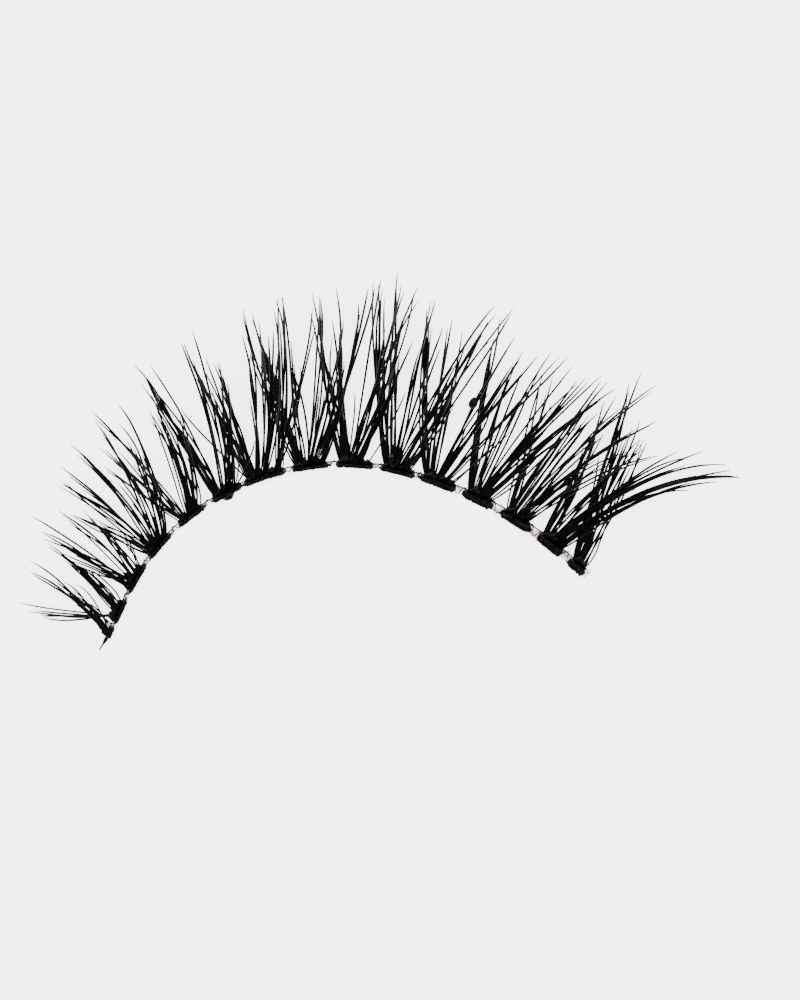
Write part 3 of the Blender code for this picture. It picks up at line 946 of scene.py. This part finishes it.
# %% Loose end of the thread
TAIL_LENGTH = 1.15 * MM
TAIL_RADIUS = 0.13 * MM
TAIL_FLATNESS = 0.7
TAIL_TURN = math.radians(-3)
TAIL_BOW = 0.08
TAIL_STEPS = 28
TAIL_SIDES = 12
TAIL_LUMPS = 0.25
TAIL_GRAIN = 9
TAIL_START = Vector((0.07, 0, 0.035)) * MM
TAIL_TAPERS = (
    Size(0.0, 0.8),
    Size(0.35, 1.0),
    Size(0.5, 0.6),
    Size(0.6, 0.42),
    Size(0.9, 0.36),
    Size(1.0, 0.2),
)


def loose_end(cluster):
    """The knot that ends the thread, and the short tail that was left beyond it."""
    start = frame_at(cluster.start) @ TAIL_START
    angle = heading(cluster.start) + math.pi + TAIL_TURN
    way = Vector((math.cos(angle), math.sin(angle), 0))
    side = way.cross(Vector((0, 0, 1)))
    path = []
    radii = []
    for step in range(TAIL_STEPS + 1):
        share = step / TAIL_STEPS
        radius = TAIL_RADIUS * between(TAIL_TAPERS, share)
        radius *= 1 + TAIL_LUMPS * noise.noise(Vector((share * TAIL_GRAIN, 5, 2)))
        point = start + way * TAIL_LENGTH * share + side * TAIL_LENGTH * TAIL_BOW * share ** 2
        point.z = max(point.z, radius * TAIL_FLATNESS)
        path.append((point, -side, Vector((0, 0, TAIL_FLATNESS))))
        radii.append(radius)
    strands = Strands(TAIL_SIDES)
    strands.add(path, radii, 0.5)
    return strands.make("thread_tail", THREAD)


settle(loose_end(PLAN[0]), "black_thread", "thread_wrap_01")
print("tail made")

# %% [markdown]
# ## The clear film
#
# The band is a cast film with rounded edges and a faint unevenness, best seen where light
# gathers along it. A swept oval with a little noise in its size does that, and real refraction
# in the finish makes the bright line and the dark edge. One thread runs along it from end to end,
# and one crosses it between the wraps.

# %% Film and running thread
FILM_STATIONS = 260
FILM_SIDES = 20
FILM_ROUNDING = 0.6
FILM_SWELL = 0.05
FILM_GRAIN = 160
RUNNING_RADIUS = 0.04 * MM
RUNNING_MARGIN = 0.004
RUNNING_LENGTH = 0.990
RUNNING_DRIFT = 0.02 * MM
RUNNING_GRAIN = 90
CROSSING_RADIUS = 0.032 * MM
CROSSING_STEPS = 26
CROSSING_LAP = 0.002
CROSSING_TURNS = (0.9, 1.6)
CROSSING_SEED = 400


def film_strip():
    body = bmesh.new()
    rings = []
    for station in range(FILM_STATIONS + 1):
        share = station / FILM_STATIONS
        place = frame_at(share)
        ring = []
        for angle in angles(FILM_SIDES):
            spot = Vector((share * FILM_GRAIN, math.cos(angle), math.sin(angle)))
            swell = 1 + FILM_SWELL * noise.noise(spot)
            out, up = rounded_box(angle, FILM_ROUNDING)
            out *= half_depth(share) * swell
            up *= BAND_HALF_HEIGHT * swell
            ring.append(body.verts.new(place @ Vector((0, out, BAND_MIDDLE + up))))
        rings.append(ring)
    skin(body, rings)
    return mesh_piece("film_strip", body, FILM)


def running_thread():
    points = []
    for step in range(FILM_STATIONS * 2 + 1):
        share = RUNNING_MARGIN + RUNNING_LENGTH * step / (FILM_STATIONS * 2)
        drift = noise.noise(Vector((share * RUNNING_GRAIN, 3, 1))) * RUNNING_DRIFT
        out = half_depth(share) - RUNNING_DRIFT + drift
        points.append(frame_at(share) @ Vector((0, out, BAND_TOP + RUNNING_RADIUS * 0.6)))
    strands = Strands(THREAD_SIDES)
    strands.add(tube_frames(points), [RUNNING_RADIUS] * len(points), 0.4)
    return strands.make("running_thread", THREAD)


def crossing_threads(dice):
    """Between two wraps the thread runs on over the film in one long loose turn."""
    strands = Strands(THREAD_SIDES)
    for cluster, ahead in zip(PLAN, PLAN[1:]):
        first = dice.uniform(0, 2 * math.pi)
        turns = dice.choice((-1, 1)) * dice.uniform(*CROSSING_TURNS)
        start = cluster.end - CROSSING_LAP
        gap = ahead.start + CROSSING_LAP - start
        points = []
        for step in range(CROSSING_STEPS + 1):
            part = step / CROSSING_STEPS
            angle = first + 2 * math.pi * turns * part
            share = start + gap * part
            out = math.cos(angle) * (half_depth(share) + CROSSING_RADIUS)
            up = math.sin(angle) * (BAND_HALF_HEIGHT + CROSSING_RADIUS)
            points.append(frame_at(share) @ Vector((0, out, BAND_MIDDLE + up)))
        strands.add(tube_frames(points), [CROSSING_RADIUS] * len(points), dice.random())
    return strands.make("crossing_thread", THREAD)


settle(film_strip(), "clear_film", "film_band")
for piece in (running_thread(), crossing_threads(random.Random(CROSSING_SEED))):
    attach(piece, "root")
print("film and its threads made")

# %% [markdown]
# ## Floor, light and camera
#
# The photograph shows the strip on plain white from a little off straight above. A white floor
# that glows softly keeps the ground white and the shadow faint, and a long lens keeps the
# proportions. The camera looks down from the lashes' side, 15 degrees off the vertical.

# %% Floor
FLOOR_SIZE = 3000 * MM
FLOOR_GLOW = 3.9
FLOOR_DROP = 0.01 * MM


def floor_finish():
    finish, tree, shader = new_finish("white_floor", Roughness=0.85, Specular_IOR_Level=0.1,
                                      Emission_Strength=FLOOR_GLOW)
    cloud = place_group(tree, MOTTLE, Grain=9.0, Low=0.8, High=0.9,
                        Dark=(0.93, 0.93, 0.93, 1), Light=(0.96, 0.96, 0.96, 1))
    tree.links.new(cloud.outputs["Color"], shader.inputs["Base Color"])
    tree.links.new(cloud.outputs["Color"], shader.inputs["Emission Color"])
    return finish


floor_body = bmesh.new()
bmesh.ops.create_grid(floor_body, x_segments=2, y_segments=2, size=FLOOR_SIZE / 2)
floor = mesh_piece("floor", floor_body, floor_finish())
floor.location.z = -FLOOR_DROP
print("floor:", FLOOR_SIZE / MM, "mm")

# %% Light
SKY_STRENGTH = 0.4
world = bpy.data.worlds.new("studio")
world.use_nodes = True
sky = world.node_tree.nodes["Background"]
sky.inputs["Color"].default_value = (1, 1, 1, 1)
sky.inputs["Strength"].default_value = SKY_STRENGTH
bpy.context.scene.world = world


def soft_light(name, place, target, size, power):
    lamp = bpy.data.lights.new(name, "AREA")
    lamp.size = size
    lamp.energy = power
    made = bpy.data.objects.new(name, lamp)
    made.location = place
    made.rotation_euler = (Vector(target) - Vector(place)).to_track_quat("-Z", "Y").to_euler()
    bpy.context.scene.collection.objects.link(made)


soft_light("key_light", (-0.10, 0.12, 0.35), (0, 0, 0), 0.30, 1.6)
soft_light("fill_light", (0.25, -0.10, 0.30), (0, 0, 0), 0.35, 0.9)

# %% Camera
PIXEL = 0.057 * MM
PICTURE_SIZE = (800, 1000)
ORIGIN_PIXEL = (322, 463)
CAMERA_TILT = math.radians(15)
CAMERA_DISTANCE = 300 * MM

aim_x = (PICTURE_SIZE[0] / 2 - ORIGIN_PIXEL[0]) * PIXEL
aim_y = -(PICTURE_SIZE[1] / 2 - ORIGIN_PIXEL[1]) * PIXEL / math.cos(CAMERA_TILT)
aim = Vector((aim_x, aim_y, 0))
toward = Vector((0, math.sin(CAMERA_TILT), math.cos(CAMERA_TILT)))
picture_up = Vector((0, math.cos(CAMERA_TILT), -math.sin(CAMERA_TILT)))
lens = bpy.data.cameras.new("camera")
lens.sensor_width = 36
lens.lens = lens.sensor_width * CAMERA_DISTANCE / (PICTURE_SIZE[1] * PIXEL)
lens.clip_start = 10 * MM
lens.clip_end = 2 * FLOOR_SIZE
camera = bpy.data.objects.new("camera", lens)
axes = Matrix((picture_up.cross(toward), picture_up, toward)).transposed()
camera.matrix_world = Matrix.Translation(aim + toward * CAMERA_DISTANCE) @ axes.to_4x4()
bpy.context.scene.collection.objects.link(camera)
bpy.context.scene.camera = camera
print("lens:", round(lens.lens, 1), "mm")
